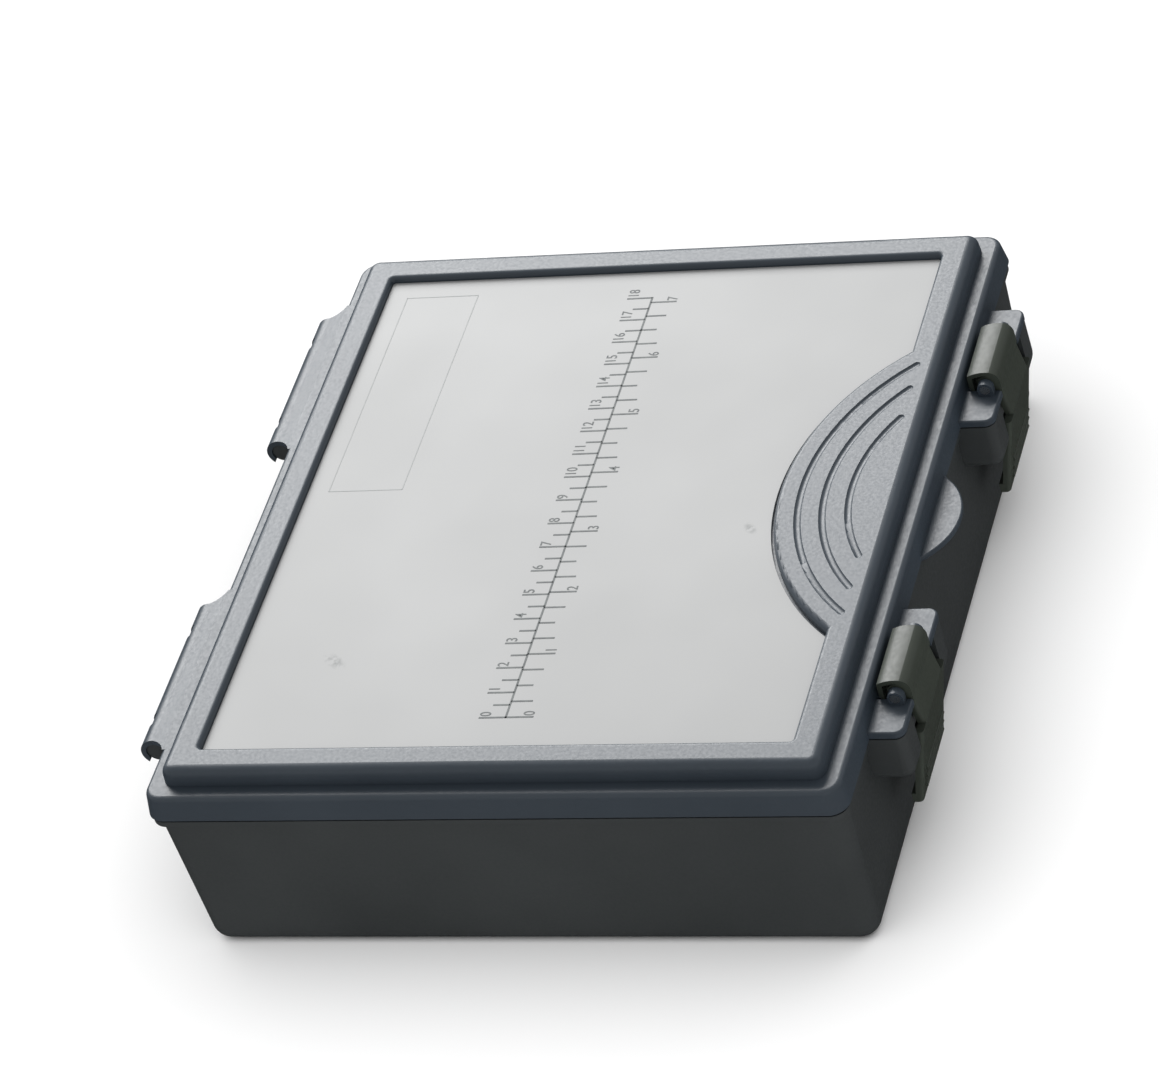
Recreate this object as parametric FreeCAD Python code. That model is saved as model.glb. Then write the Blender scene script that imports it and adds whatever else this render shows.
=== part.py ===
"""Latched organiser case with a hinged lid, two drop latches and removable dividers.

Millimetres, +Z up. The origin is the middle of the flat underside of the tub. X runs along the
hinge line, -Y is the latch side (front) and +Y is the hinge side (back).
Bodies: the tub with its dividers, the lid with its panel and latch pins, and two latches.
"""
import FreeCAD, Part
import math
import os
from FreeCAD import Vector

# ---- overall -------------------------------------------------------------------------------
case_length = 236.4          # over the lower edge of the lid skirt, along X
case_depth = 206.6           # over the lower edge of the lid skirt, along Y
case_height = 66.5           # underside of the tub to the top of the lid frame

# ---- lid -----------------------------------------------------------------------------------
lid_height = 13.4            # frame top to the lower edge of the skirt
lid_wall = 1.6               # skirt, ledge, frame and panel floor are all this thick
skirt_flare = 1.0            # how far the skirt leans out between the ledge and its lower edge
skirt_corner = 5.5
ledge_width = 4.8            # flat step round the raised frame
ledge_drop = 5.75            # frame top to ledge top
ledge_edge_round = 1.6
frame_width = 10.05          # foot of the raised frame to the panel opening
frame_lean = 0.5             # how far the frame's outer face leans in towards the top
frame_corner = 3.5
frame_edge_round = 3.0
opening_edge_round = 1.5     # upper edge of the panel opening
recess_depth = 2.1           # frame top to the upper face of the panel
panel_thickness = 1.0
panel_corner = 1.0
panel_clearance = 0.15

# ---- thumb pad: a disc at frame level that runs into the front of the panel ------------------
pad_radius = 78.2
pad_reach = 37.0             # front of the raised frame to the furthest point of the pad
pad_edge_round = 1.8
pad_gap = 0.9                # between the pad's edge and the panel
groove_offsets = (7.1, 14.3, 21.8)   # from the pad's edge to the middle of each groove
groove_width = 2.2
groove_depth = 0.5
groove_margin = 3.0          # how far the grooves run past the panel opening's front edge
tab_half_width = 17.3        # thumb tab on the skirt, for lifting the lid
tab_reach = 8.3
tab_drop = 12.2              # frame top to the tab's upper face
tab_thickness = 1.8
tab_edge_round = 0.5
root_depth = 1.1             # how far tabs and lugs run into the skirt

# ---- tub -----------------------------------------------------------------------------------
rim_wall = 1.5
floor_thickness = 2.5
tub_draft = 0.03             # lean of the tub walls, millimetres per millimetre of height
tub_corner = 5.8
tub_bottom_round = 5.5
inner_corner = 3.0
floor_round = 2.0            # inside, between the floor and the walls
rim_clearance = 0.25         # between the tub's rim and the skirt round it, and the ledge above it
flange_inset = 0.6           # lower edge of the skirt to the face of the flange below it
flange_gap = 1.0             # lower edge of the skirt to the top of the flange
flange_thickness = 1.8
flange_step = 1.2            # flange face to the tub wall below it

# ---- hinges --------------------------------------------------------------------------------
hinge_spacing = 128.0        # centre to centre, the same as the latches'
hinge_standoff = 3.9         # lower edge of the skirt to the rod's centre
rod_radius = 3.1
rod_clearance = 0.05
barrel_radius = 4.75
barrel_length = 57.0
barrel_sink = 1.0            # ledge top to the crest of the barrel
leaf_flare = 4.6             # how much wider each side of the leaf is at the lid
waist_flare = 1.4            # the same, where the leaf's side curves in
waist_reach = 0.45           # where that is, as a share of the way from the ledge to the rod
ear_spacing = 36.6           # centre to centre of the two ears that carry each rod
ear_width = 4.0
ear_clearance = 0.4
ear_foot = 12.5              # height of the ear's foot on the tub wall
ear_grip = 0.9               # where the ears' sides start inside the rod, as a share of its radius
ear_angles = (-118.0, -75.0)  # the ear's two sides, from +Y towards +Z about the rod
mouth_width = 3.8            # opening along the underside of the barrel, for snapping over the rod
mouth_angle = -70.0          # its direction, from +Y towards +Z
slot_angles = (-127.0, 56.0)  # sector of the barrel cut away at each ear

# ---- latches -------------------------------------------------------------------------------
latch_spacing = 128.0
latch_standoff = 6.0         # lower edge of the skirt to the pin's centre
pin_drop = 9.0               # frame top to the pin's centre
pin_radius = 1.5
pin_clearance = 0.05
pin_fit = 0.02
head_half_width = 11.1
head_top = 4.3               # pin's centre to the top of the latch head
head_back = 5.4              # pin's centre to the back of the latch head
head_below = 3.0
head_front_round = 3.5
head_back_round = 2.0        # lets the head turn past the skirt
head_crown = 11.0            # radius of the gentle curve across the top of the head
head_wall = 1.4              # left round the pocket in each end of the head
pocket_depth = 2.6
hub_radius = 2.7             # left round the pin in each pocket
head_mouth = 2.2
head_mouth_angle = -60.0     # its direction, from +Y towards +Z
plate_front = 4.1            # pin's centre to the front face of the head
plate_thickness = 2.3
plate_half_width = 14.7      # below the head
wing_drop = 12.0             # pin's centre to where the plate widens
plate_bulge = 1.4            # how far the front face stands out further at that height
plate_drop = 38.6            # pin's centre to the lower edge of the plate
plate_lean = 5.8             # how far the lower edge comes in from there
plate_edge_round = 1.2       # its front edges at each end
lip_thickness = 2.8
lip_height = 3.2
bead_radius = 1.5
bead_drop = 19.8             # pin's centre to the bead's centre
bead_clearance = 0.3
grip_pitch = 3.2
grip_count = 3
grip_radius = 0.7

# ---- latch lugs on the lid, and the cheeks and keeper below them on the tub --------------------
lug_half_width = 25.0
lug_reach = 10.1             # lower edge of the skirt to the lug's front edge
lug_drop = 11.2              # frame top to the lug's upper face
lug_thickness = 2.0
lug_corner = 3.0
lug_edge_round = 0.7
side_clearance = 0.45        # each side of a latch head and of a latch plate
boss_width = 2.4
boss_radius = 2.3
cheek_reach = 9.9            # lower edge of the skirt to the cheek's front face
cheek_gap = 0.5
cheek_height = 16.8
cheek_round = 5.0            # its lower front edge
cheek_side_round = 3.0
keeper_reach = 4.8           # lower edge of the skirt to the keeper's front face
keeper_drop = 23.5           # frame top to the keeper's upper face
keeper_height = 3.0

# ---- dividers ------------------------------------------------------------------------------
rows = 3
columns = 5
long_thickness = 1.8
cross_thickness = 1.6
divider_drop = 1.0           # rim of the tub to the top of the dividers
divider_play = 0.2           # each side of a divider in its slot
divider_end_gap = 0.3
divider_round = 2.0
rib_depth = 1.5
rib_thickness = 1.2
foot_chamfer = 2.6           # clears the rounding between the floor and the walls

# ---- levels and half sizes worked out from the values above ------------------------------------
frame_top = case_height
ledge_top = frame_top - ledge_drop
ledge_under = ledge_top - lid_wall
skirt_bottom = frame_top - lid_height
panel_top = frame_top - recess_depth
panel_seat = panel_top - panel_thickness
rim_top = ledge_under - rim_clearance
flange_top = skirt_bottom - flange_gap
flange_bottom = flange_top - flange_thickness
divider_top = rim_top - divider_drop

skirt_x, skirt_y = case_length / 2, case_depth / 2
ledge_x, ledge_y = skirt_x - skirt_flare, skirt_y - skirt_flare
foot_x, foot_y = ledge_x - ledge_width, ledge_y - ledge_width
opening_x, opening_y = foot_x - frame_width, foot_y - frame_width
rim_x = ledge_x - lid_wall - rim_clearance
rim_y = ledge_y - lid_wall - rim_clearance
flange_x, flange_y = skirt_x - flange_inset, skirt_y - flange_inset
inner_x, inner_y = rim_x - rim_wall, rim_y - rim_wall

rod_y, rod_z = skirt_y + hinge_standoff, ledge_top - barrel_sink - barrel_radius
pin_y, pin_z = -(skirt_y + latch_standoff), frame_top - pin_drop
pad_y = -foot_y + pad_reach - pad_radius
row_width = 2 * inner_y / rows
column_width = 2 * inner_x / columns
hinge_centres = (-hinge_spacing / 2, hinge_spacing / 2)
latch_centres = {"left": -latch_spacing / 2, "right": latch_spacing / 2}


# ---- small building blocks ---------------------------------------------------------------------
def box(x0, x1, y0, y1, z0, z1):
    return Part.makeBox(x1 - x0, y1 - y0, z1 - z0, Vector(x0, y0, z0))


def rounded_outline(half_x, half_y, radius, z):
    """A rectangle with round corners, centred on the Z axis."""
    edges = []
    corners = ((1, 1, 0), (-1, 1, 90), (-1, -1, 180), (1, -1, 270))
    ends = []
    for sx, sy, start in corners:
        centre = Vector(sx * (half_x - radius), sy * (half_y - radius), z)
        a, m, b = (centre + Vector(math.cos(t), math.sin(t), 0) * radius
                   for t in (math.radians(start + step) for step in (0, 45, 90)))
        edges.append(Part.Arc(a, m, b).toShape())
        ends.append((a, b))
    for i in range(4):
        edges.insert(2 * i + 1, Part.makeLine(ends[i][1], ends[(i + 1) % 4][0]))
    return Part.Wire(edges)


def prism(half_x, half_y, radius, z0, z1):
    face = Part.Face(rounded_outline(half_x, half_y, radius, z0))
    return face.extrude(Vector(0, 0, z1 - z0))


def tapered(low, high, z0, z1):
    """A solid between two round-cornered rectangles, each given as half_x, half_y, radius."""
    return Part.makeLoft([rounded_outline(*low, z0), rounded_outline(*high, z1)], True, True)


def along_x(outline, x0, x1):
    """Extrude a closed outline, given as edges or as (y, z) points, from x0 to x1."""
    if isinstance(outline[0], tuple):
        points = [Vector(x0, y, z) for y, z in outline]
        wire = Part.makePolygon(points + points[:1])
    else:
        wire = Part.Wire(outline)
    return Part.Face(wire).extrude(Vector(x1 - x0, 0, 0))


def rod_along_x(y, z, radius, x0, x1):
    return Part.makeCylinder(radius, x1 - x0, Vector(x0, y, z), Vector(1, 0, 0))


def is_level(edge, z):
    return abs(edge.BoundBox.ZMin - z) < 1e-4 and abs(edge.BoundBox.ZMax - z) < 1e-4


def round_level_edges(shape, z, radius):
    return shape.makeFillet(radius, [edge for edge in shape.Edges if is_level(edge, z)])


def fused(first, *others):
    return first.multiFuse(list(others)).removeSplitter()


# ---- lid ---------------------------------------------------------------------------------------
def lid_outside():
    skirt = tapered((skirt_x, skirt_y, skirt_corner),
                    (ledge_x, ledge_y, skirt_corner), skirt_bottom, ledge_top)
    skirt = round_level_edges(skirt, ledge_top, ledge_edge_round)
    raised = tapered((foot_x, foot_y, frame_corner),
                     (foot_x - frame_lean, foot_y - frame_lean, frame_corner),
                     ledge_under, frame_top)
    raised = round_level_edges(raised, frame_top, frame_edge_round)
    return fused(skirt, raised)


def lid_inside():
    """The space under the lid: inside the skirt, under the frame and under the thumb pad."""
    corner = skirt_corner - lid_wall
    space = tapered((skirt_x - lid_wall, skirt_y - lid_wall, corner),
                    (ledge_x - lid_wall, ledge_y - lid_wall, corner), skirt_bottom, ledge_under)
    under_frame = prism(foot_x - frame_lean - lid_wall, foot_y - frame_lean - lid_wall,
                        frame_corner - lid_wall, ledge_under, frame_top - lid_wall)
    under_frame = round_level_edges(under_frame, frame_top - lid_wall, frame_edge_round - lid_wall)
    floor_bottom = panel_seat - lid_wall
    core = prism(opening_x + lid_wall, opening_y + lid_wall, panel_corner + lid_wall,
                 floor_bottom, frame_top)
    under_pad = Part.makeCylinder(pad_radius - lid_wall, frame_top - lid_wall - floor_bottom,
                                  Vector(0, pad_y, floor_bottom))
    return fused(space, under_frame.cut(core.cut(under_pad)))


def pad_disc(z0, z1, radius=pad_radius):
    return Part.makeCylinder(radius, z1 - z0, Vector(0, pad_y, z0))


def with_panel_opening(shape):
    """Cuts the recess that the panel lies in, and rounds its upper edge."""
    shape = shape.cut(prism(opening_x, opening_y, panel_corner, panel_seat, frame_top))
    edges = [e for e in shape.Edges if is_level(e, frame_top)
             and abs(e.CenterOfMass.x) < opening_x + 1e-3 and abs(e.CenterOfMass.y) < opening_y + 1e-3]
    return shape.makeFillet(opening_edge_round, edges)


def thumb_pad():
    """The part of a round-edged disc that lies in the recess, and a little of it in the frame."""
    disc = round_level_edges(pad_disc(panel_seat, frame_top), frame_top, pad_edge_round)
    front = -opening_y - 2 * opening_edge_round
    return disc.common(box(-pad_radius, pad_radius, front, pad_y + pad_radius, panel_seat, frame_top))


def pad_grooves():
    """Round-bottomed arcs about the thumb pad's centre, with round ends level with one another."""
    grooves = []
    end_y = -opening_y - groove_margin
    section = ((groove_width / 2) ** 2 + groove_depth ** 2) / (2 * groove_depth)
    z = frame_top - groove_depth + section
    for offset in groove_offsets:
        radius = pad_radius - offset
        rise = math.asin((end_y - pad_y) / radius)
        centre = Vector(0, pad_y, z)
        arc = Part.makeTorus(radius, section, centre, Vector(0, 0, 1), 0, 360, 180 - 2 * math.degrees(rise))
        arc.rotate(centre, Vector(0, 0, 1), math.degrees(rise))
        end_x = radius * math.cos(rise)
        ends = [Part.makeSphere(section, Vector(x, end_y, z)) for x in (-end_x, end_x)]
        grooves.append(arc.multiFuse(ends))
    return grooves


def thumb_tab():
    """A segment of a disc that stands out from the lower edge of the skirt."""
    radius = (tab_half_width ** 2 + tab_reach ** 2) / (2 * tab_reach)
    z1 = frame_top - tab_drop
    disc = Part.makeCylinder(radius, tab_thickness,
                             Vector(0, -skirt_y - tab_reach + radius, z1 - tab_thickness))
    disc = disc.makeFillet(tab_edge_round, [e for e in disc.Edges if e.BoundBox.ZLength < 1e-6])
    return disc.common(box(-radius, radius, -skirt_y - 2 * radius, -skirt_y + root_depth, 0, frame_top))


def latch_lugs(centre):
    """Two flat lugs, one each side of the latch head, with the bosses that hold its pin."""
    z1 = frame_top - lug_drop
    z0 = z1 - lug_thickness
    inner = head_half_width + side_clearance
    pieces = []
    for side in (-1, 1):
        near, far = sorted((centre + side * inner, centre + side * lug_half_width))
        plate = box(near, far, -skirt_y - lug_reach, -skirt_y + root_depth, z0, z1)
        front = [e for e in plate.Edges if e.BoundBox.ZLength > lug_thickness / 2
                 and e.CenterOfMass.y < -skirt_y - lug_reach + 1e-3]
        outer = [e for e in front if abs(e.CenterOfMass.x - centre) > inner + 1]
        plate = plate.makeFillet(lug_corner, outer)
        rim = [e for e in plate.Edges if is_level(e, z1) and e.CenterOfMass.y < -skirt_y
               and abs(e.CenterOfMass.x - centre) > inner + 1e-3]
        plate = plate.makeFillet(lug_edge_round, rim)
        x0, x1 = sorted((centre + side * inner, centre + side * (inner + boss_width)))
        boss = fused(rod_along_x(pin_y, pin_z, boss_radius, x0, x1),
                     box(x0, x1, pin_y - boss_radius, pin_y + boss_radius, z0, pin_z))
        pieces.append(fused(plate, boss).cut(rod_along_x(pin_y, pin_z, pin_radius + pin_fit, x0, x1)))
    return pieces


def hinge_leaf(centre):
    """A leaf that runs out of the ledge, with a C-shaped barrel that turns on the tub's rod."""
    half = barrel_length / 2
    crest = rod_z + barrel_radius
    root_y = ledge_y - ledge_edge_round
    z0 = crest - lid_wall
    side_edges = []
    outline = {}
    for side in (-1, 1):
        wide = Vector(centre + side * (half + leaf_flare), ledge_y, z0)
        waist = Vector(centre + side * (half + waist_flare), ledge_y + (rod_y - ledge_y) * waist_reach, z0)
        narrow = Vector(centre + side * half, rod_y, z0)
        root = Vector(wide.x, root_y, z0)
        outline[side] = (root, narrow)
        side_edges += [Part.makeLine(root, wide), Part.Arc(wide, waist, narrow).toShape()]
    side_edges += [Part.makeLine(outline[-1][i], outline[1][i]) for i in (0, 1)]
    leaf = Part.Face(Part.Wire(Part.__sortEdges__(side_edges))).extrude(Vector(0, 0, ledge_top - z0))
    slope = [(root_y, ledge_under), (root_y, ledge_top), (ledge_y, ledge_top), (rod_y, crest), (rod_y, z0)]
    leaf = leaf.common(along_x(slope, centre - 2 * half, centre + 2 * half))
    barrel = rod_along_x(rod_y, rod_z, barrel_radius, centre - half, centre + half)
    return fused(leaf, barrel)


def hinge_cuts(centre):
    """The bore, the mouth below it and the slots that clear the rod's ears."""
    half = barrel_length / 2
    bore = rod_along_x(rod_y, rod_z, rod_radius + rod_clearance, centre - half, centre + half)
    mouth = box(centre - half, centre + half, 0, 2 * barrel_radius, -mouth_width / 2, mouth_width / 2)
    mouth.rotate(Vector(0, 0, 0), Vector(1, 0, 0), mouth_angle)
    mouth.translate(Vector(0, rod_y, rod_z))
    cuts = [bore, mouth]
    half_slot = ear_width / 2 + ear_clearance
    for side in (-1, 1):
        x0 = centre + side * ear_spacing / 2 - half_slot
        cuts.append(sector(x0, x0 + 2 * half_slot, barrel_radius + 1, *slot_angles))
    return cuts


def from_rod(angle, radius):
    """The (y, z) place at an angle from +Y towards +Z about the hinge rod."""
    turn = math.radians(angle)
    return rod_y + radius * math.cos(turn), rod_z + radius * math.sin(turn)


def sector(x0, x1, radius, start, end):
    """A slice of a cylinder about the hinge rod, between two such angles."""
    centre = Vector(x0, rod_y, rod_z)
    a, m, b = (Vector(x0, *from_rod(angle, radius)) for angle in (start, (start + end) / 2, end))
    wire = Part.Wire([Part.makeLine(centre, a), Part.Arc(a, m, b).toShape(), Part.makeLine(b, centre)])
    return Part.Face(wire).extrude(Vector(x1 - x0, 0, 0))


def lid_shell():
    shell = fused(with_panel_opening(lid_outside()), thumb_pad()).cut(lid_inside())
    added = [thumb_tab()]
    for centre in latch_centres.values():
        added += latch_lugs(centre)
    cuts = pad_grooves()
    for centre in hinge_centres:
        added.append(hinge_leaf(centre))
        cuts += hinge_cuts(centre)
    return fused(shell, *added).cut(cuts)


def ruler_panel():
    """The light sheet that lies in the lid's recess, cut round the thumb pad."""
    gap = panel_clearance
    sheet = prism(opening_x - gap, opening_y - gap, panel_corner, panel_seat, panel_top)
    return sheet.cut(pad_disc(panel_seat, panel_top, pad_radius + pad_gap))


# ---- latches -----------------------------------------------------------------------------------
def latch_pin(centre):
    half = head_half_width + side_clearance + boss_width - pin_fit
    return rod_along_x(pin_y, pin_z, pin_radius, centre - half, centre + half)


def plate_face(z):
    """The y of the plate's front face at a height below the head."""
    top, wing, low = (pin_z - drop for drop in (head_below, wing_drop, plate_drop))
    front = pin_y - plate_front
    if z > wing:
        return front - plate_bulge * (top - z) / (top - wing)
    return front - plate_bulge + plate_lean * (wing - z) / (wing - low)


def plate_slice(centre, half_width, z0, z1):
    """One stretch of the plate, between two heights."""
    outline = [(plate_face(z0), z0), (plate_face(z0) + plate_thickness, z0),
               (plate_face(z1) + plate_thickness, z1), (plate_face(z1), z1)]
    plate = along_x(outline, centre - half_width, centre + half_width)
    front_edges = [e for e in plate.Edges if e.BoundBox.XLength < 1e-6
                   and e.Length > 2 * plate_thickness
                   and e.CenterOfMass.y < (plate_face(z0) + plate_face(z1) + plate_thickness) / 2]
    return plate.makeFillet(plate_edge_round, front_edges)


def latch_head(centre):
    """The block that turns on the pin, with a mouth below for snapping over it."""
    front, back = pin_y - plate_front, pin_y + head_back
    top, low = pin_z + head_top, pin_z - head_below
    x0, x1 = centre - head_half_width, centre + head_half_width
    head = box(x0, x1, front, back, low, top)
    head = round_x_edges(head, front, top, head_front_round)
    for z in (low, top):
        head = round_x_edges(head, back, z, head_back_round)
    head = head.common(rod_along_x(pin_y, top - head_crown, head_crown, x0, x1))
    bore = rod_along_x(pin_y, pin_z, pin_radius + pin_clearance, x0, x1)
    mouth = box(x0, x1, 0, 2 * head_back, -head_mouth / 2, head_mouth / 2)
    mouth.rotate(Vector(0, 0, 0), Vector(1, 0, 0), head_mouth_angle)
    mouth.translate(Vector(0, pin_y, pin_z))
    return head.cut([bore, mouth] + head_pockets(centre))


def head_pockets(centre):
    """A hollow in each end of the head, open below, so that the head is a curl round a hub."""
    y0, y1 = pin_y - plate_front + plate_thickness, pin_y + head_back - head_wall
    z0, z1 = pin_z - head_below - head_wall, pin_z + head_top - head_wall
    pockets = []
    for side in (-1, 1):
        x0, x1 = sorted((centre + side * head_half_width, centre + side * (head_half_width - pocket_depth)))
        pocket = box(x0, x1, y0, y1, z0, z1)
        pocket = round_x_edges(pocket, y0, z1, head_front_round - head_wall)
        pocket = round_x_edges(pocket, y1, z1, head_back_round - head_wall)
        roof = rod_along_x(pin_y, pin_z + head_top - head_crown, head_crown - head_wall, x0, x1)
        pocket = pocket.common(roof)
        pockets.append(pocket.cut(rod_along_x(pin_y, pin_z, hub_radius, x0, x1)))
    return pockets


def latch(centre):
    """The plate hangs from the head in front of the keeper, with a bead that catches below it."""
    low, wing = pin_z - plate_drop, pin_z - wing_drop
    neck = plate_slice(centre, head_half_width, wing, pin_z - head_below)
    plate = plate_slice(centre, plate_half_width, low, wing)
    lip_front = plate_face(low)
    lip = box(centre - plate_half_width, centre + plate_half_width,
              lip_front + plate_thickness / 2, lip_front + lip_thickness, low, low + lip_height)
    bead_z = pin_z - bead_drop
    bead_y = -(skirt_y + keeper_reach + bead_clearance) - bead_radius
    x0, x1 = centre - head_half_width, centre + head_half_width
    bead = rod_along_x(bead_y, bead_z, bead_radius, x0, x1)
    web = box(x0, x1, plate_face(bead_z) + plate_thickness / 2, bead_y,
              bead_z - bead_radius, bead_z + bead_radius)
    return fused(latch_head(centre), neck, plate, lip, bead, web, *grip_ribs(centre))


def grip_ribs(centre):
    """Low ribs across the lower front of the plate."""
    ribs = []
    for i in range(grip_count):
        z = pin_z - plate_drop + lip_height + i * grip_pitch
        ribs.append(rod_along_x(plate_face(z), z, grip_radius,
                                centre - head_half_width, centre + head_half_width))
    return ribs


def round_x_edges(shape, y, z, radius):
    """Round the edges along X that run through a given y and z."""
    chosen = [e for e in shape.Edges
              if abs(e.CenterOfMass.y - y) < 1e-4 and abs(e.CenterOfMass.z - z) < 1e-4]
    return shape.makeFillet(radius, chosen)


# ---- tub ---------------------------------------------------------------------------------------
def wall_x(z):
    """Half the tub's outside length at a height."""
    return flange_x - flange_step - tub_draft * (flange_bottom - z)


def wall_y(z):
    return flange_y - flange_step - tub_draft * (flange_bottom - z)


def space_x(z):
    """Half the length of the space inside the tub at a height."""
    return inner_x - tub_draft * (rim_top - z)


def space_y(z):
    return inner_y - tub_draft * (rim_top - z)


def tub_outside():
    body = tapered((wall_x(0), wall_y(0), tub_corner),
                   (wall_x(flange_top), wall_y(flange_top), tub_corner), 0, flange_top)
    body = round_level_edges(body, 0, tub_bottom_round)
    flange = prism(flange_x, flange_y, skirt_corner - flange_inset, flange_bottom, flange_top)
    rim = prism(rim_x, rim_y, skirt_corner - lid_wall - rim_clearance, flange_bottom, rim_top)
    return fused(body, flange, rim)


def tub_space():
    space = tapered((space_x(floor_thickness), space_y(floor_thickness), inner_corner),
                    (space_x(rim_top), space_y(rim_top), inner_corner), floor_thickness, rim_top)
    return round_level_edges(space, floor_thickness, floor_round)


def slot_ribs_on_ends():
    """Pairs of ribs on the two end walls, for the long dividers."""
    ribs = []
    offset = long_thickness / 2 + divider_play
    for y in row_lines():
        for side in (-1, 1):
            for y0 in (y - offset - rib_thickness, y + offset):
                ribs.append(leaning_rib(space_x, side, y0, turned=False))
    return ribs


def slot_ribs_on_sides():
    """Pairs of ribs on the front and back walls, for the cross dividers."""
    ribs = []
    offset = cross_thickness / 2 + divider_play
    for x in column_lines():
        for side in (-1, 1):
            for x0 in (x - offset - rib_thickness, x + offset):
                ribs.append(leaning_rib(space_y, side, x0, turned=True))
    return ribs


def leaning_rib(space, side, start, turned):
    """A rib that follows a leaning wall, from the floor to the top of the dividers."""
    z0, z1 = floor_thickness / 2, divider_top
    sunk = rim_wall / 2
    corners = [(side * (space(z0) - rib_depth), z0), (side * (space(z1) - rib_depth), z1),
               (side * (space(z1) + sunk), z1), (side * (space(z0) + sunk), z0)]
    if turned:
        return along_x(corners, start, start + rib_thickness)
    points = [Vector(x, start, z) for x, z in corners]
    return Part.Face(Part.makePolygon(points + points[:1])).extrude(Vector(0, rib_thickness, 0))


def row_lines():
    return [-inner_y + row_width * i for i in range(1, rows)]


def column_lines():
    return [-inner_x + column_width * i for i in range(1, columns)]


def latch_seat(centre):
    """Two cheeks under the lid's lugs, and the keeper bar between them."""
    z1 = frame_top - lug_drop - lug_thickness - cheek_gap
    z0 = z1 - cheek_height
    inner = plate_half_width + side_clearance
    back = -wall_y(z0) + rim_wall / 2
    pieces = []
    for side in (-1, 1):
        x0, x1 = sorted((centre + side * inner, centre + side * lug_half_width))
        cheek = box(x0, x1, -skirt_y - cheek_reach, back, z0, z1)
        outer = [e for e in cheek.Edges if e.BoundBox.ZLength > cheek_height / 2
                 and e.CenterOfMass.y < -skirt_y and abs(e.CenterOfMass.x - centre) > inner + 1]
        cheek = cheek.makeFillet(cheek_side_round, outer)
        cheek = round_x_edges(cheek, -skirt_y - cheek_reach, z0, cheek_round)
        pieces.append(cheek)
    keeper_top = frame_top - keeper_drop
    pieces.append(box(centre - inner, centre + inner, -skirt_y - keeper_reach, back,
                      keeper_top - keeper_height, keeper_top))
    return pieces


def hinge_rod(centre):
    """The rod that the lid turns on, carried on two ears that stand out from the back wall."""
    half = barrel_length / 2 - ear_clearance
    rod = rod_along_x(rod_y, rod_z, rod_radius, centre - half, centre + half)
    inside = wall_y(flange_bottom) - rim_wall / 2
    near, far = ear_angles
    reach = barrel_radius + ear_clearance
    shoulder = from_rod(near, reach)
    grip = rod_radius * ear_grip
    profile = [(inside, shoulder[1]), shoulder, from_rod(near, grip),
               from_rod(far, grip), from_rod(far, reach), (inside, flange_bottom - ear_foot)]
    ears = [along_x(profile, centre + side * ear_spacing / 2 - ear_width / 2,
                    centre + side * ear_spacing / 2 + ear_width / 2) for side in (-1, 1)]
    return fused(rod, *ears)


def tub():
    outside = tub_outside()
    shell = outside.cut(tub_space())
    added = [rib.common(outside) for rib in slot_ribs_on_ends() + slot_ribs_on_sides()]
    for centre in latch_centres.values():
        added += latch_seat(centre)
    for centre in hinge_centres:
        added.append(hinge_rod(centre))
    return fused(shell, *added)


# ---- dividers ----------------------------------------------------------------------------------
def long_divider(y):
    """A plate from end wall to end wall, with pairs of ribs that hold the cross dividers."""
    z0, z1 = floor_thickness, divider_top
    half_low, half_high = space_x(z0) - divider_end_gap, space_x(z1) - divider_end_gap
    points = [Vector(x, y - long_thickness / 2, z) for x, z in (
        (-half_low + foot_chamfer, z0), (half_low - foot_chamfer, z0), (half_low, z0 + foot_chamfer),
        (half_high, z1), (-half_high, z1), (-half_low, z0 + foot_chamfer))]
    plate = Part.Face(Part.makePolygon(points + points[:1])).extrude(Vector(0, long_thickness, 0))
    ribs = []
    offset = cross_thickness / 2 + divider_play
    reach = long_thickness / 2 + rib_depth
    for x in column_lines():
        for x0 in (x - offset - rib_thickness, x + offset):
            ribs.append(box(x0, x0 + rib_thickness, y - reach, y + reach, z0, z1 - divider_round))
    return fused(plate, *ribs)


def cross_divider(x, row):
    """A plate across one row, from a long divider or a wall to the next."""
    z0, z1 = floor_thickness, divider_top
    lines = row_lines()
    gap = long_thickness / 2 + divider_end_gap
    front_low, front_high, front_foot = cross_end(lines[row - 1] + gap if row > 0 else None, -1, z0, z1)
    back_low, back_high, back_foot = cross_end(lines[row] - gap if row < rows - 1 else None, 1, z0, z1)
    outline = [(front_low + front_foot, z0), (back_low - back_foot, z0)]
    if back_foot:
        outline.append((back_low, z0 + back_foot))
    outline += [(back_high, z1), (front_high, z1)]
    if front_foot:
        outline.append((front_low, z0 + front_foot))
    plate = along_x(outline, x - cross_thickness / 2, x + cross_thickness / 2)
    top_ends = [e for e in plate.Edges if abs(e.CenterOfMass.z - z1) < 1e-3
                and abs(e.Length - cross_thickness) < 1e-3]
    return plate.makeFillet(divider_round, top_ends)


def cross_end(line, side, z0, z1):
    """Where a cross divider ends at its foot and its top, and how large its foot chamfer is."""
    if line is not None:
        return line, line, 0
    low, high = (side * (space_y(z) - divider_end_gap) for z in (z0, z1))
    return low, high, foot_chamfer


# ---- write the parts -----------------------------------------------------------------------------
def all_parts():
    parts = {"tub": tub(), "lid_shell": lid_shell(), "ruler_panel": ruler_panel()}
    for side, centre in latch_centres.items():
        parts["latch_" + side] = latch(centre)
        parts["latch_pin_" + side] = latch_pin(centre)
    for i, y in enumerate(row_lines()):
        parts["long_divider_" + ("front", "back")[i]] = long_divider(y)
    for row, name in enumerate(("front", "middle", "back")):
        for i, x in enumerate(column_lines()):
            parts["cross_divider_%s_%d" % (name, i + 1)] = cross_divider(x, row)
    return parts


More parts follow.
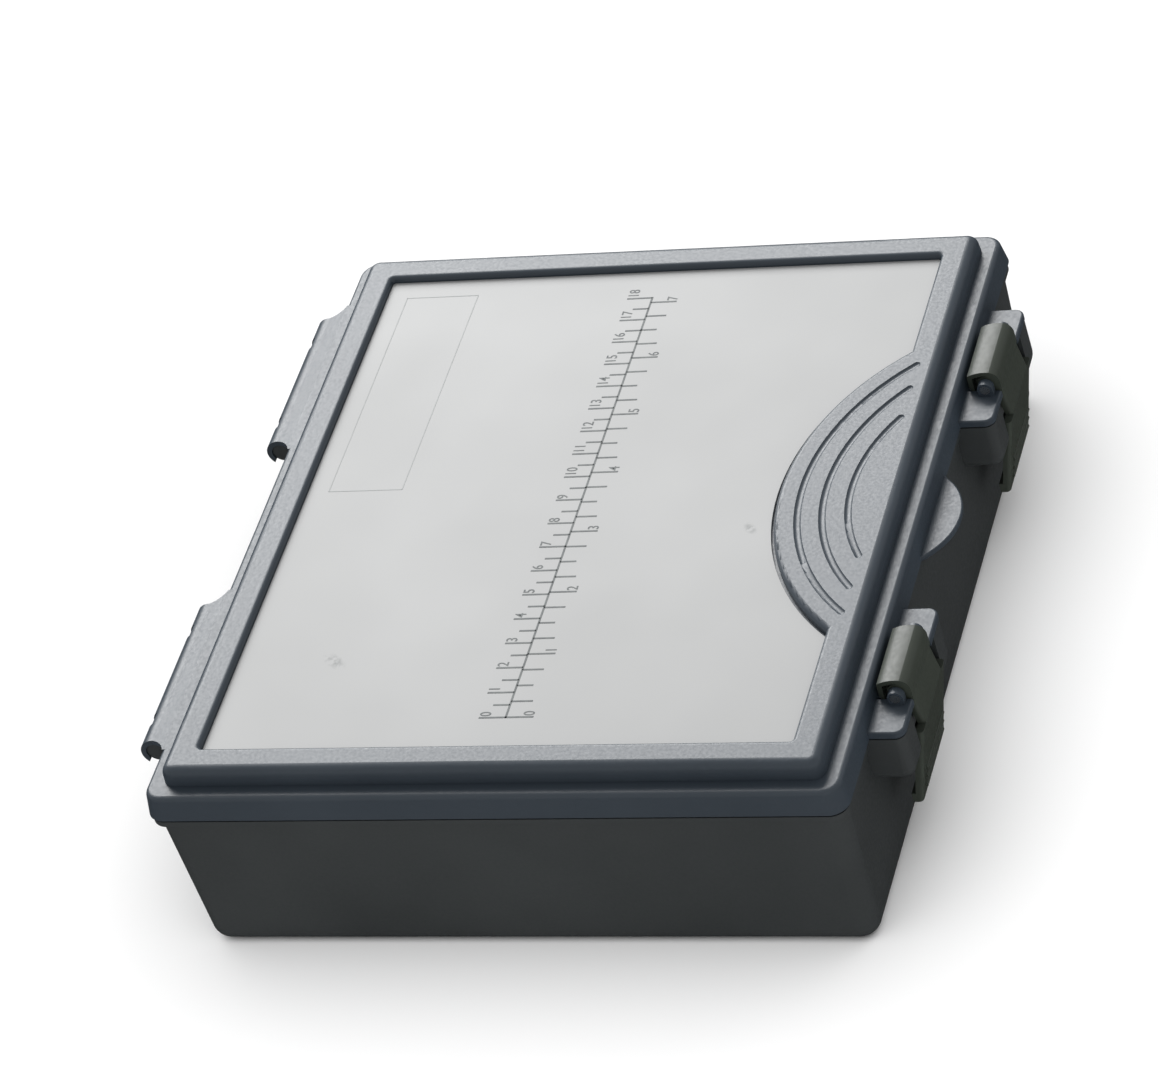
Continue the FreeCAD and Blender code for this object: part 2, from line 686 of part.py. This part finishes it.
os.makedirs("parts", exist_ok=True)
for name, shape in all_parts().items():
    shape.exportStep("parts/" + name + ".step")
    print("%-24s %d solid, valid %s, %.1f mm3" % (name, len(shape.Solids), shape.isValid(), shape.Volume))
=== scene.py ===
# %% [markdown]
# # A latched organiser case with a rule printed on its lid
# The case is a shallow moulded box: a tub, a hinged lid with a light panel, two drop latches and slot-in
# dividers. Its solids are already drawn and packed, so this script is about looks: the printed rule, the
# finish of each plastic, the light and the camera. Everything is in metres, with +Z up. The rule runs along
# +X, the latches are on the -Y side and the hinges are on the +Y side.

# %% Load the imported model
import math

import bmesh
import bpy
from mathutils import Matrix, Vector


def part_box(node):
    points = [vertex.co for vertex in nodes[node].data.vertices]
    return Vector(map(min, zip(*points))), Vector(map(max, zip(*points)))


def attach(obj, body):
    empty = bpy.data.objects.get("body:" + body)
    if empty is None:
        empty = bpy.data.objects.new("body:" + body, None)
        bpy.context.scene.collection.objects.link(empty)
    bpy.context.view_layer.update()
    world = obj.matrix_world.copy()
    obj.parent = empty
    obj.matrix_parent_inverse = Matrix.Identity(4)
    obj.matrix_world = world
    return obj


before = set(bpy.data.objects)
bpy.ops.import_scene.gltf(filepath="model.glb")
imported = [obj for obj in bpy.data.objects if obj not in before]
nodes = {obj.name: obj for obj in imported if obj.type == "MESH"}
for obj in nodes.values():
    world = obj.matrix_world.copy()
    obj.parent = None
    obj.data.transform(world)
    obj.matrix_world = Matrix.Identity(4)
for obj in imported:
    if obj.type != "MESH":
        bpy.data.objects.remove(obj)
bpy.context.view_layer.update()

MM = 0.001
print("nodes:", len(nodes))

# %% [markdown]
# ## Where things are
# A piece that lies on another one takes its height from it. The rule is printed on the panel, so the top of
# the panel's box is where the ink starts. The top of the lid's box is the height that the lamp is aimed at.

# %% Heights read from the model
panel_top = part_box("ruler_panel")[1].z
case_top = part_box("lid_shell")[1].z
print("panel top at %.1f mm, case top at %.1f mm" % (panel_top / MM, case_top / MM))

# %% [markdown]
# ## Helpers for materials
# A colour is written as a hex value, as it would be picked from a swatch. Blender's shaders want linear
# light, so one function converts it. A second function adds a node with its settings, numbers and links,
# which keeps each material down to a few readable lines. A third starts a material with its shader and its
# output.
#
# Patterns are laid out on Object coordinates. Every object here sits at the origin, so those are real metres,
# and a pattern's scale is simply one over its size.

# %% Colour and node helpers
def linear(hex_colour):
    """A linear RGBA colour from an sRGB hex value such as '4a5058'."""
    parts = [int(hex_colour[i:i + 2], 16) / 255 for i in (0, 2, 4)]
    return [c / 12.92 if c <= 0.04045 else ((c + 0.055) / 1.055) ** 2.4 for c in parts] + [1.0]


def add_node(tree, kind, inputs=None, **settings):
    """Adds a node. An input that is given another node's output becomes a link."""
    node = tree.nodes.new("ShaderNode" + kind)
    for name, value in settings.items():
        setattr(node, name, value)
    for name, value in (inputs or {}).items():
        if isinstance(value, bpy.types.NodeSocket):
            tree.links.new(value, node.inputs[name])
        else:
            node.inputs[name].default_value = value
    return node


def start_material(name):
    """A new material: returns it, its node tree, its Principled shader and the Object coordinates."""
    material = bpy.data.materials.new(name)
    material.use_nodes = True
    tree = material.node_tree
    tree.nodes.clear()
    shader = add_node(tree, "BsdfPrincipled")
    add_node(tree, "OutputMaterial", {"Surface": shader.outputs["BSDF"]})
    place = add_node(tree, "TexCoord").outputs["Object"]
    return material, tree, shader, place


# Blender's noise runs from 0 to 1 but mostly stays between these two, so patterns are stretched from them.
NOISE_LOW, NOISE_HIGH = 0.3, 0.7
print("a mid grey, 808080, is %.3f in linear light" % linear("808080")[0])

# %% [markdown]
# ## The moulded plastics
# The tub, lid, latches and dividers are injection mouldings. A mould that was spark-eroded leaves a fine,
# even grain, and cooling leaves slow, faint changes of tone over a wall. Both could be painted on as images,
# but noise needs no unwrapping and runs across every face without a seam. One broad noise drifts the colour,
# and one fine noise drives the gloss and the bump.
#
# The real grain is about half a millimetre between pits, which is too fine to show from where the camera
# stands, so it is drawn at about twice that.

# %% Moulded plastic
TONE_DRIFT = 45 * MM
GRAIN_STRENGTH = 0.6
DULLER, GLOSSIER = 0.06, 0.05  # how far the grain moves the roughness up and down


def moulded_plastic(name, dark, light, roughness, grain, depth, ior):
    """A grained moulding, with its grain's size and depth in metres."""
    material, tree, shader, place = start_material(name)
    drift = add_node(tree, "TexNoise", {"Vector": place, "Scale": 1 / TONE_DRIFT, "Detail": 3})
    tone = add_node(tree, "MapRange", {"Value": drift.outputs["Fac"],
                                       "From Min": NOISE_LOW, "From Max": NOISE_HIGH})
    colour = add_node(tree, "Mix", {0: tone.outputs["Result"], 6: linear(dark), 7: linear(light)},
                      data_type="RGBA")
    pits = add_node(tree, "TexNoise", {"Vector": place, "Scale": 1 / grain, "Detail": 2})
    gloss = add_node(tree, "MapRange", {"Value": pits.outputs["Fac"],
                                        "From Min": NOISE_LOW, "From Max": NOISE_HIGH,
                                        "To Min": roughness - GLOSSIER, "To Max": roughness + DULLER})
    bump = add_node(tree, "Bump", {"Height": pits.outputs["Fac"], "Distance": depth,
                                   "Strength": GRAIN_STRENGTH})
    tree.links.new(colour.outputs[2], shader.inputs["Base Color"])
    tree.links.new(gloss.outputs["Result"], shader.inputs["Roughness"])
    tree.links.new(bump.outputs["Normal"], shader.inputs["Normal"])
    shader.inputs["IOR"].default_value = ior
    print("made", name)
    return material


# %% [markdown]
# Each plastic is the same recipe with its own numbers. They differ to the eye in three ways: how blue or
# green the grey is, how tight the highlights are, and how much of the white surroundings a level face picks
# up, which the IOR sets.

# %% The four mouldings
# ABS: a hard slate-blue plastic from a lightly grained mould, with soft but clear highlights on its rounds.
lid_abs = moulded_plastic("satin ABS, slate", "3c4650", "414b55", 0.38, 0.9 * MM, 0.004 * MM, 1.56)
# Polypropylene from a deeper grain: nearly black in the shade, with wide, dull highlights.
tub_polypropylene = moulded_plastic("grained polypropylene, charcoal", "3d4142", "434748",
                                    0.5, 0.9 * MM, 0.012 * MM, 1.46)
# Nylon: an olive grey with a waxy streak of light along each curl.
latch_nylon = moulded_plastic("moulded nylon, olive grey", "40463f", "474d45",
                              0.36, 1.2 * MM, 0.005 * MM, 1.38)
# Polypropylene from a smooth mould: a paler grey, so that each plate stands out from the tub.
divider_polypropylene = moulded_plastic("smooth polypropylene, grey", "4c5155", "54595d",
                                        0.42, 1.0 * MM, 0.006 * MM, 1.48)

# %% [markdown]
# ## The panel
# The light sheet is extruded polystyrene, so it has almost no grain and needs no bump. What it does have is
# handling marks: a broad haze that changes its gloss, and two small scuffs. A scuff is a stretched round
# spot, placed with a Mapping node, times a streaky noise that breaks up its edge.

# %% Panel sheet
HAZE = 60 * MM
STREAK = 2.2 * MM
STREAK_LOW, STREAK_HIGH = 0.42, 0.62  # a narrow range of the noise, which gives the streaks crisp sides
SCUFF_EDGE = 0.5  # half of a scuff's length or width, where it has faded out
SCUFF_COLOUR = "6c7070"
# Each scuff's middle and its length and width in millimetres, and its turn in radians.
SCUFFS = (((-66, 57.5), (11, 5), 0.9), ((-14.3, -54.7), (7, 3.5), 0.7))


def scuff(tree, place, middle, size, turn):
    """The strength of one scuff, from 0 to 1."""
    spot = add_node(tree, "Mapping", {"Vector": place, "Rotation": (0, 0, turn),
                                      "Location": (middle[0] * MM, middle[1] * MM, panel_top),
                                      "Scale": (size[0] * MM, size[1] * MM, 1)}, vector_type="TEXTURE")
    away = add_node(tree, "VectorMath", {0: spot.outputs["Vector"]}, operation="LENGTH")
    fade = add_node(tree, "MapRange", {"Value": away.outputs["Value"],
                                       "From Min": 0.0, "From Max": SCUFF_EDGE,
                                       "To Min": 1.0, "To Max": 0.0})
    noise = add_node(tree, "TexNoise", {"Vector": place, "Scale": 1 / STREAK, "Detail": 4, "Roughness": 0.7})
    streaks = add_node(tree, "MapRange", {"Value": noise.outputs["Fac"],
                                          "From Min": STREAK_LOW, "From Max": STREAK_HIGH})
    return add_node(tree, "Math", {0: fade.outputs["Result"], 1: streaks.outputs["Result"]},
                    operation="MULTIPLY").outputs["Value"]


def panel_sheet():
    material, tree, shader, place = start_material("smooth polystyrene, light grey")
    haze = add_node(tree, "TexNoise", {"Vector": place, "Scale": 1 / HAZE, "Detail": 3})
    tone = add_node(tree, "MapRange", {"Value": haze.outputs["Fac"],
                                       "From Min": NOISE_LOW, "From Max": NOISE_HIGH})
    gloss = add_node(tree, "MapRange", {"Value": haze.outputs["Fac"],
                                        "From Min": NOISE_LOW, "From Max": NOISE_HIGH,
                                        "To Min": 0.42, "To Max": 0.5})
    colour = add_node(tree, "Mix", {0: tone.outputs["Result"], 6: linear("acadad"), 7: linear("b0b1b1")},
                      data_type="RGBA")
    for middle, size, turn in SCUFFS:
        colour = add_node(tree, "Mix", {0: scuff(tree, place, middle, size, turn), 6: colour.outputs[2],
                                        7: linear(SCUFF_COLOUR)}, data_type="RGBA")
    tree.links.new(colour.outputs[2], shader.inputs["Base Color"])
    tree.links.new(gloss.outputs["Result"], shader.inputs["Roughness"])
    shader.inputs["IOR"].default_value = 1.45
    return material


# An even, milky sheet, whose wide sheen makes it paler towards the lamp.
panel_polystyrene = panel_sheet()
print("made", panel_polystyrene.name, "with", len(SCUFFS), "scuffs")

# %% [markdown]
# ## The pins
# Each latch turns on a short length of drawn steel wire. Drawing pulls fine lines along the wire. They could
# be anisotropy, but stretched noise shows on such a small end face too. The Mapping node shrinks X twenty
# times before the noise is read, so each blotch becomes a line twenty times as long as it is wide.

# %% Drawn steel
DRAWN_LINE = 0.4 * MM
LINE_STRETCH = 1 / 20


def drawn_steel():
    material, tree, shader, place = start_material("drawn steel wire")
    along = add_node(tree, "Mapping", {"Vector": place, "Scale": (LINE_STRETCH, 1, 1)})
    lines = add_node(tree, "TexNoise", {"Vector": along.outputs["Vector"], "Scale": 1 / DRAWN_LINE,
                                        "Detail": 3})
    colour = add_node(tree, "Mix", {0: lines.outputs["Fac"], 6: linear("a9aaab"), 7: linear("c6c7c6")},
                      data_type="RGBA")
    gloss = add_node(tree, "MapRange", {"Value": lines.outputs["Fac"],
                                        "From Min": NOISE_LOW, "From Max": NOISE_HIGH,
                                        "To Min": 0.22, "To Max": 0.38})
    tree.links.new(colour.outputs[2], shader.inputs["Base Color"])
    tree.links.new(gloss.outputs["Result"], shader.inputs["Roughness"])
    shader.inputs["Metallic"].default_value = 1.0
    return material


# Bare metal: a bright, neutral glint against the dark plastic around it.
pin_steel = drawn_steel()
print("made", pin_steel.name)

# %% [markdown]
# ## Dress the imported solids
# The solids keep their meshes and their places. Only the material slot of each one is filled.

# %% Give each solid its material
finish = {"tub": tub_polypropylene, "lid_shell": lid_abs, "ruler_panel": panel_polystyrene}
for name in nodes:
    if name.startswith("latch_pin"):
        finish[name] = pin_steel
    elif name.startswith("latch"):
        finish[name] = latch_nylon
    elif "divider" in name:
        finish[name] = divider_polypropylene
for name, material in finish.items():
    materials = nodes[name].data.materials
    materials.clear()
    materials.append(material)
print("dressed", len(finish), "of", len(nodes), "solids")

# %% [markdown]
# ## The printing ink
# The rule and the outline are screen-printed. The mesh of the screen lays the ink down a little thinner in
# places, which a noise of a few millimetres gives as a change between two near greys. Such ink is matt.

# %% Screen ink
INK_PATCH = 3.0 * MM


def printed_ink(name, dark, light):
    material, tree, shader, place = start_material(name)
    patches = add_node(tree, "TexNoise", {"Vector": place, "Scale": 1 / INK_PATCH, "Detail": 3})
    cover = add_node(tree, "MapRange", {"Value": patches.outputs["Fac"], "From Min": 0.35, "From Max": 0.65})
    colour = add_node(tree, "Mix", {0: cover.outputs["Result"], 6: linear(dark), 7: linear(light)},
                      data_type="RGBA")
    tree.links.new(colour.outputs[2], shader.inputs["Base Color"])
    shader.inputs["Roughness"].default_value = 0.55
    print("made", name)
    return material


# Dark enough to read against the panel, but plainly grey.
rule_ink = printed_ink("screen ink, grey", "4a5052", "636969")
# Only just darker than the panel, so that it shows as a faint line.
outline_ink = printed_ink("screen ink, pale", "a3a7a6", "adb1b0")

# %% [markdown]
# ## The printed rule
# The rule is one long line, with centimetres on the hinge side and inches on the latch side. It could be
# drawn by the panel's material, but thin real bars keep crisp ends at any distance and come out as a mesh.
# Each bar is a cube that is scaled to its length and width, and to the 0.05 mm that the ink stands proud.

# %% Ink bars
INK_HEIGHT = 0.05 * MM


def add_bar(mesh, x0, x1, y0, y1):
    """A flat bar of ink on the panel."""
    made = bmesh.ops.create_cube(mesh, size=1.0)["verts"]
    bmesh.ops.scale(mesh, vec=(x1 - x0, y1 - y0, INK_HEIGHT), verts=made)
    middle = ((x0 + x1) / 2, (y0 + y1) / 2, panel_top + INK_HEIGHT / 2)
    bmesh.ops.translate(mesh, vec=middle, verts=made)


def finish_piece(mesh, name, material, body):
    """Makes an object from a bmesh, with its material and its body."""
    data = bpy.data.meshes.new(name)
    mesh.to_mesh(data)
    mesh.free()
    data.materials.append(material)
    piece = bpy.data.objects.new(name, data)
    bpy.context.scene.collection.objects.link(piece)
    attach(piece, body)
    print(name, len(data.polygons), "faces")


print("ink stands %.2f mm above the panel" % (INK_HEIGHT / MM))

# %% [markdown]
# The rule is printed a fraction of a degree off square, so its parts are drawn straight along X, from 0 at
# the origin, and then turned and moved together.

# %% Long line and ticks
CENTIMETRE, INCH = 10 * MM, 25.4 * MM
CENTIMETRES, INCHES = 18, 7
LINE_WIDTH = 0.6 * MM
HALF_LINE = LINE_WIDTH / 2
WHOLE_TICK, HALF_TICK = 8.0 * MM, 5.0 * MM
# A whole inch, and the quarter, half and three quarters after it.
INCH_TICKS = (8.2 * MM, 6.4 * MM, 4.9 * MM, 6.4 * MM)
RULE_START = Vector((-89.9 * MM, -0.9 * MM, 0))
RULE_TURN = math.radians(0.4)
place_rule = Matrix.Translation(RULE_START) @ Matrix.Rotation(RULE_TURN, 4, "Z")


def add_tick(mesh, x, length):
    """A tick across the rule at x. A negative length points to the latch side."""
    add_bar(mesh, x - HALF_LINE, x + HALF_LINE, min(0, length), max(0, length))


rule = bmesh.new()
add_bar(rule, -HALF_LINE, CENTIMETRES * CENTIMETRE + HALF_LINE, -HALF_LINE, HALF_LINE)
for i in range(2 * CENTIMETRES + 1):
    add_tick(rule, i * CENTIMETRE / 2, HALF_TICK if i % 2 else WHOLE_TICK)
for i in range(4 * INCHES + 1):
    add_tick(rule, i * INCH / 4, -INCH_TICKS[i % 4])
bmesh.ops.transform(rule, matrix=place_rule, verts=rule.verts)
finish_piece(rule, "rule_lines", rule_ink, "lid")

# %% [markdown]
# The figures are plain numerals. Drawing them by hand would be slow, so Blender's own font makes them as
# curves, narrowed a little and thickened by a small offset. A text becomes a mesh first, and its place is
# applied after that.

# %% Figures
FIGURE_HEIGHT = 3.3 * MM
FIGURE_SIZE = FIGURE_HEIGHT / 0.7  # the font's numerals stand 0.7 of its size
FIGURE_WIDTH = 0.78
FIGURE_WEIGHT = 0.006 * FIGURE_SIZE
FIGURE_GAP = 0.55 * MM
CURVE_STEPS = 4  # straight runs between two points of a curve
SAME_POINT = 1e-7  # metres: corners nearer than this are merged


def add_figure(target, text, x, y):
    """A numeral that starts at x, with its foot at y."""
    curve = bpy.data.curves.new("figure", "FONT")
    curve.body = text
    curve.size = FIGURE_SIZE
    curve.offset = FIGURE_WEIGHT
    curve.extrude = INK_HEIGHT / 2
    curve.resolution_u = CURVE_STEPS
    holder = bpy.data.objects.new("figure", curve)
    bpy.context.scene.collection.objects.link(holder)
    bpy.context.view_layer.update()
    shaped = holder.evaluated_get(bpy.context.evaluated_depsgraph_get())
    numeral = bpy.data.meshes.new_from_object(shaped)
    narrow = Matrix.Diagonal((FIGURE_WIDTH, 1, 1, 1))
    numeral.transform(Matrix.Translation((x, y, panel_top + INK_HEIGHT / 2)) @ narrow)
    target.from_mesh(numeral)
    bpy.data.objects.remove(holder)
    bpy.data.curves.remove(curve)
    bpy.data.meshes.remove(numeral)


figures = bmesh.new()
for i in range(CENTIMETRES + 1):
    add_figure(figures, str(i), i * CENTIMETRE + FIGURE_GAP, WHOLE_TICK - FIGURE_HEIGHT)
for i in range(INCHES + 1):
    add_figure(figures, str(i), i * INCH + FIGURE_GAP, -INCH_TICKS[0])
bmesh.ops.remove_doubles(figures, verts=figures.verts, dist=SAME_POINT)
bmesh.ops.transform(figures, matrix=place_rule, verts=figures.verts)
finish_piece(figures, "rule_figures", rule_ink, "lid")

# %% [markdown]
# A pale outline near the hinges marks the place for a name. It is four hairline bars in the paler ink.

# %% Name outline
OUTLINE_X = (6.8 * MM, 94.8 * MM)
OUTLINE_Y = (57.5 * MM, 80.7 * MM)
HAIRLINE = 0.3 * MM

outline = bmesh.new()
for y in OUTLINE_Y:
    add_bar(outline, *OUTLINE_X, y - HAIRLINE / 2, y + HAIRLINE / 2)
for x in OUTLINE_X:
    add_bar(outline, x - HAIRLINE / 2, x + HAIRLINE / 2, *OUTLINE_Y)
finish_piece(outline, "name_outline", outline_ink, "lid")

# %% [markdown]
# ## The floor
# The case stands on a plain white floor. A real studio sweep is matt, so it has no highlights of its own. Its
# reflection is also kept off the case: a white floor mirrored in the dark walls would turn them grey, where a
# studio would stand black cards beside the case to keep them dark.

# %% Floor
FLOOR_SIZE = 30  # metres from the middle to each side, so that no edge shows


def matt_floor():
    material, _, shader, _ = start_material("matt white floor")
    shader.inputs["Base Color"].default_value = linear("f4f4f4")
    shader.inputs["Roughness"].default_value = 0.9
    shader.inputs["Specular IOR Level"].default_value = 0.0
    return material


ground = bmesh.new()
bmesh.ops.create_grid(ground, x_segments=1, y_segments=1, size=FLOOR_SIZE)
ground_mesh = bpy.data.meshes.new("floor")
ground.to_mesh(ground_mesh)
ground.free()
ground_mesh.materials.append(matt_floor())
floor = bpy.data.objects.new("floor", ground_mesh)
floor.visible_glossy = False
bpy.context.scene.collection.objects.link(floor)
print("floor reaches", FLOOR_SIZE, "m each way")

# %% [markdown]
# ## The lamps
# A satin plastic is dark where it faces the floor and pale where it mirrors a lamp. One large soft lamp
# stands beyond the case, at the angle where the level faces mirror it towards the camera, so the panel and
# the frame's top are pale and the walls stay dark. A second lamp hangs overhead for the floor alone, to keep
# it near white with a soft shadow.
#
# Light linking decides which objects a lamp reaches. A collection lists the receivers, and an object in it
# can be included or excluded: the softbox reaches all but the floor, and the floor lamp only the floor.

# %% Lamps
SOFTBOX_FROM_CASE = Vector((1.56, 0.98, 1.20))
SOFTBOX_SIZE = (1.7, 1.25)
SOFTBOX_POWER = 56
FLOOR_LAMP_HEIGHT = 3
FLOOR_LAMP_SIZE = (6, 6)
FLOOR_LAMP_POWER = 170


def add_lamp(name, place, aim, size, power, receivers):
    """A rectangular soft lamp that faces a point and lights only its receivers."""
    data = bpy.data.lights.new(name, "AREA")
    data.shape = "RECTANGLE"
    data.size, data.size_y = size
    data.energy = power
    lamp = bpy.data.objects.new(name, data)
    lamp.location = place
    lamp.rotation_euler = (Vector(aim) - Vector(place)).to_track_quat("-Z", "Y").to_euler()
    lamp.light_linking.receiver_collection = receivers
    bpy.context.scene.collection.objects.link(lamp)
    print("%s, %d W" % (name, power))


floor_only = bpy.data.collections.new("floor only")
floor_only.objects.link(floor)
all_but_floor = bpy.data.collections.new("all but the floor")
all_but_floor.objects.link(floor)
all_but_floor.collection_objects[0].light_linking.link_state = "EXCLUDE"

case_middle = Vector((0, 0, case_top))
add_lamp("back softbox", case_middle + SOFTBOX_FROM_CASE, case_middle,
         SOFTBOX_SIZE, SOFTBOX_POWER, all_but_floor)
add_lamp("floor lamp", (0, 0, FLOOR_LAMP_HEIGHT), (0, 0, 0),
         FLOOR_LAMP_SIZE, FLOOR_LAMP_POWER, floor_only)

# %% [markdown]
# ## The sky
# A pale sky fills in the shade. It is dark at and below the horizon and white above it, because the walls
# mirror the horizon and should stay dark, while the rounded edges above them catch the white. In a world,
# Generated coordinates are the direction that a ray looks in, so their Z is the height above the horizon.

# %% Sky
HORIZON_START, HORIZON_END = -0.05, 0.25
SKY_STRENGTH = 0.45

world = bpy.data.worlds.new("pale sky")
world.use_nodes = True
sky = world.node_tree
background = sky.nodes["Background"]
direction = add_node(sky, "SeparateXYZ", {"Vector": add_node(sky, "TexCoord").outputs["Generated"]})
rise = add_node(sky, "MapRange", {"Value": direction.outputs["Z"], "From Min": HORIZON_START,
                                  "From Max": HORIZON_END})
colour = add_node(sky, "Mix", {0: rise.outputs["Result"], 6: linear("404040"), 7: linear("ffffff")},
                  data_type="RGBA")
sky.links.new(colour.outputs[2], background.inputs["Color"])
background.inputs["Strength"].default_value = SKY_STRENGTH
bpy.context.scene.world = world
bpy.context.scene.view_settings.view_transform = "Standard"
print("sky strength", SKY_STRENGTH)

# %% [markdown]
# ## The camera
# The camera is a long lens from well above the near left corner, turned a little on its axis, which tips the
# case in the picture. Its aim is a direction, and to_track_quat turns that into a rotation.

# %% Camera
CAMERA_PLACE = (-1.1351, -0.5613, 1.0679)
CAMERA_DIRECTION = Vector((0.6976, 0.3479, -0.6263))
CAMERA_ROLL = math.radians(-18.87)
SENSOR_WIDTH, LENS = 36, 174.6  # both in millimetres

camera_data = bpy.data.cameras.new("camera")
camera_data.sensor_width = SENSOR_WIDTH
camera_data.lens = LENS
camera = bpy.data.objects.new("camera", camera_data)
camera.location = CAMERA_PLACE
aim = CAMERA_DIRECTION.to_track_quat("-Z", "Y").to_matrix() @ Matrix.Rotation(CAMERA_ROLL, 3, "Z")
camera.rotation_euler = aim.to_euler()
bpy.context.scene.collection.objects.link(camera)
bpy.context.scene.camera = camera
print("camera %.2f m from the case, lens %.1f mm" % (camera.location.length, LENS))
